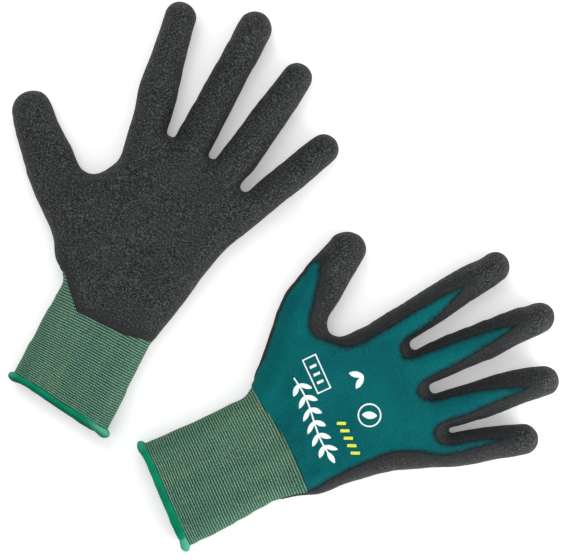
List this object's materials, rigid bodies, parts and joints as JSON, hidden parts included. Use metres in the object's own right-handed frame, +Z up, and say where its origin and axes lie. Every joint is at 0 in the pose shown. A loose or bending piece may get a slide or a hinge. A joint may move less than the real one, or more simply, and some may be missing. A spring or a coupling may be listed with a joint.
{
  "type": "gardening gloves",
  "caption": "Pair of seamless-knit gardening gloves with black latex-dipped palms, teal backs, striped rib cuffs and overlocked hems; fingers fold.",
  "frame": {"origin": "centre of the pair's outline on the surface that it lies on", "axes": "+Z up from the surface; seen from above, +X to the right and +Y up the view. The left glove points from cuff to fingers along +Y turned 27 degrees towards +X, and the right glove along +Y turned 65 degrees towards +X"},
  "size_m": [0.3267, 0.3223, 0.02],
  "materials": {
    "teal_knit": "fine nylon knit, teal",
    "striped_rib": "rib knit in pale and dark green courses",
    "elastic_thread": "covered elastic thread",
    "overlock_thread": "bright green overlock stitch",
    "latex": "black crinkle latex, matt",
    "white_ink": "white transfer print",
    "yellow_ink": "yellow transfer print"
  },
  "bodies": {
    "left_hand": {"left_hand_liner": "teal_knit", "left_cuff": "striped_rib", "left_cuff_elastic": "elastic_thread", "left_hem": "overlock_thread", "left_hand_coating": "latex", "left_sprig_print": "white_ink", "left_badge_print": "white_ink", "left_row_print": "yellow_ink"},
    "left_thumb_root": {"left_thumb_root_liner": "teal_knit", "left_thumb_root_coating": "latex"},
    "left_thumb_tip": {"left_thumb_tip_liner": "teal_knit", "left_thumb_tip_coating": "latex"},
    "left_index_root": {"left_index_root_liner": "teal_knit", "left_index_root_coating": "latex"},
    "left_index_tip": {"left_index_tip_liner": "teal_knit", "left_index_tip_coating": "latex"},
    "left_middle_root": {"left_middle_root_liner": "teal_knit", "left_middle_root_coating": "latex"},
    "left_middle_tip": {"left_middle_tip_liner": "teal_knit", "left_middle_tip_coating": "latex"},
    "left_ring_root": {"left_ring_root_liner": "teal_knit", "left_ring_root_coating": "latex"},
    "left_ring_tip": {"left_ring_tip_liner": "teal_knit", "left_ring_tip_coating": "latex"},
    "left_little_root": {"left_little_root_liner": "teal_knit", "left_little_root_coating": "latex"},
    "left_little_tip": {"left_little_tip_liner": "teal_knit", "left_little_tip_coating": "latex"},
    "right_hand": {"right_hand_liner": "teal_knit", "right_cuff": "striped_rib", "right_cuff_elastic": "elastic_thread", "right_hem": "overlock_thread", "right_hand_coating": "latex", "right_sprig_print": "white_ink", "right_badge_print": "white_ink", "right_row_print": "yellow_ink"},
    "right_thumb_root": {"right_thumb_root_liner": "teal_knit", "right_thumb_root_coating": "latex"},
    "right_thumb_tip": {"right_thumb_tip_liner": "teal_knit", "right_thumb_tip_coating": "latex"},
    "right_index_root": {"right_index_root_liner": "teal_knit", "right_index_root_coating": "latex"},
    "right_index_tip": {"right_index_tip_liner": "teal_knit", "right_index_tip_coating": "latex"},
    "right_middle_root": {"right_middle_root_liner": "teal_knit", "right_middle_root_coating": "latex"},
    "right_middle_tip": {"right_middle_tip_liner": "teal_knit", "right_middle_tip_coating": "latex"},
    "right_ring_root": {"right_ring_root_liner": "teal_knit", "right_ring_root_coating": "latex"},
    "right_ring_tip": {"right_ring_tip_liner": "teal_knit", "right_ring_tip_coating": "latex"},
    "right_little_root": {"right_little_root_liner": "teal_knit", "right_little_root_coating": "latex"},
    "right_little_tip": {"right_little_tip_liner": "teal_knit", "right_little_tip_coating": "latex"}
  },
  "joints": [
    {"name": "right_glove_lift", "type": "slide", "parent": "left_hand", "child": "right_hand", "axis": [0, 0, 1], "range_m": [0, 0.15]},
    {"name": "left_thumb_root_fold", "type": "hinge", "parent": "left_hand", "child": "left_thumb_root", "pos_m": [-0.13936, 0.06899, 0.012], "axis": [0.9483, 0.3173, 0], "range_deg": [0, 50]},
    {"name": "left_thumb_middle_fold", "type": "hinge", "parent": "left_thumb_root", "child": "left_thumb_tip", "pos_m": [-0.14602, 0.08891, 0.012], "axis": [0.9483, 0.3173, 0], "range_deg": [0, 70]},
    {"name": "left_index_root_fold", "type": "hinge", "parent": "left_hand", "child": "left_index_root", "pos_m": [-0.07717, 0.09758, 0.012], "axis": [0.9573, -0.289, 0], "range_deg": [0, 75]},
    {"name": "left_index_middle_fold", "type": "hinge", "parent": "left_index_root", "child": "left_index_tip", "pos_m": [-0.06821, 0.12725, 0.012], "axis": [0.9573, -0.289, 0], "range_deg": [0, 85]},
    {"name": "left_middle_root_fold", "type": "hinge", "parent": "left_hand", "child": "left_middle_root", "pos_m": [-0.04971, 0.08413, 0.012], "axis": [0.8813, -0.4726, 0], "range_deg": [0, 75]},
    {"name": "left_middle_middle_fold", "type": "hinge", "parent": "left_middle_root", "child": "left_middle_tip", "pos_m": [-0.03317, 0.11497, 0.012], "axis": [0.8813, -0.4726, 0], "range_deg": [0, 85]},
    {"name": "left_ring_root_fold", "type": "hinge", "parent": "left_hand", "child": "left_ring_root", "pos_m": [-0.02531, 0.06918, 0.012], "axis": [0.809, -0.5878, 0], "range_deg": [0, 75]},
    {"name": "left_ring_middle_fold", "type": "hinge", "parent": "left_ring_root", "child": "left_ring_tip", "pos_m": [-0.00709, 0.09426, 0.012], "axis": [0.809, -0.5878, 0], "range_deg": [0, 85]},
    {"name": "left_little_root_fold", "type": "hinge", "parent": "left_hand", "child": "left_little_root", "pos_m": [-0.0035, 0.05139, 0.012], "axis": [0.6361, -0.7716, 0], "range_deg": [0, 75]},
    {"name": "left_little_middle_fold", "type": "hinge", "parent": "left_little_root", "child": "left_little_tip", "pos_m": [0.0127, 0.06475, 0.012], "axis": [0.6361, -0.7716, 0], "range_deg": [0, 85]},
    {"name": "right_thumb_root_fold", "type": "hinge", "parent": "right_hand", "child": "right_thumb_root", "pos_m": [0.01855, -0.01226, 0.012], "axis": [0.831, -0.5563, 0], "range_deg": [0, 50]},
    {"name": "right_thumb_middle_fold", "type": "hinge", "parent": "right_thumb_root", "child": "right_thumb_tip", "pos_m": [0.03023, 0.00519, 0.012], "axis": [0.831, -0.5563, 0], "range_deg": [0, 70]},
    {"name": "right_index_root_fold", "type": "hinge", "parent": "right_hand", "child": "right_index_root", "pos_m": [0.07867, -0.02416, 0.012], "axis": [0.527, -0.8499, 0], "range_deg": [0, 75]},
    {"name": "right_index_middle_fold", "type": "hinge", "parent": "right_index_root", "child": "right_index_tip", "pos_m": [0.10501, -0.00783, 0.012], "axis": [0.527, -0.8499, 0], "range_deg": [0, 85]},
    {"name": "right_middle_root_fold", "type": "hinge", "parent": "right_hand", "child": "right_middle_root", "pos_m": [0.09231, -0.05063, 0.012], "axis": [0.3971, -0.9178, 0], "range_deg": [0, 75]},
    {"name": "right_middle_middle_fold", "type": "hinge", "parent": "right_middle_root", "child": "right_middle_tip", "pos_m": [0.12443, -0.03673, 0.012], "axis": [0.3971, -0.9178, 0], "range_deg": [0, 85]},
    {"name": "right_ring_root_fold", "type": "hinge", "parent": "right_hand", "child": "right_ring_root", "pos_m": [0.10365, -0.07805, 0.012], "axis": [0.2924, -0.9563, 0], "range_deg": [0, 75]},
    {"name": "right_ring_middle_fold", "type": "hinge", "parent": "right_ring_root", "child": "right_ring_tip", "pos_m": [0.13329, -0.06898, 0.012], "axis": [0.2924, -0.9563, 0], "range_deg": [0, 85]},
    {"name": "right_little_root_fold", "type": "hinge", "parent": "right_hand", "child": "right_little_root", "pos_m": [0.10855, -0.10231, 0.012], "axis": [0.1374, -0.9905, 0], "range_deg": [0, 75]},
    {"name": "right_little_middle_fold", "type": "hinge", "parent": "right_little_root", "child": "right_little_tip", "pos_m": [0.12934, -0.09942, 0.012], "axis": [0.1374, -0.9905, 0], "range_deg": [0, 85]}
  ]
}
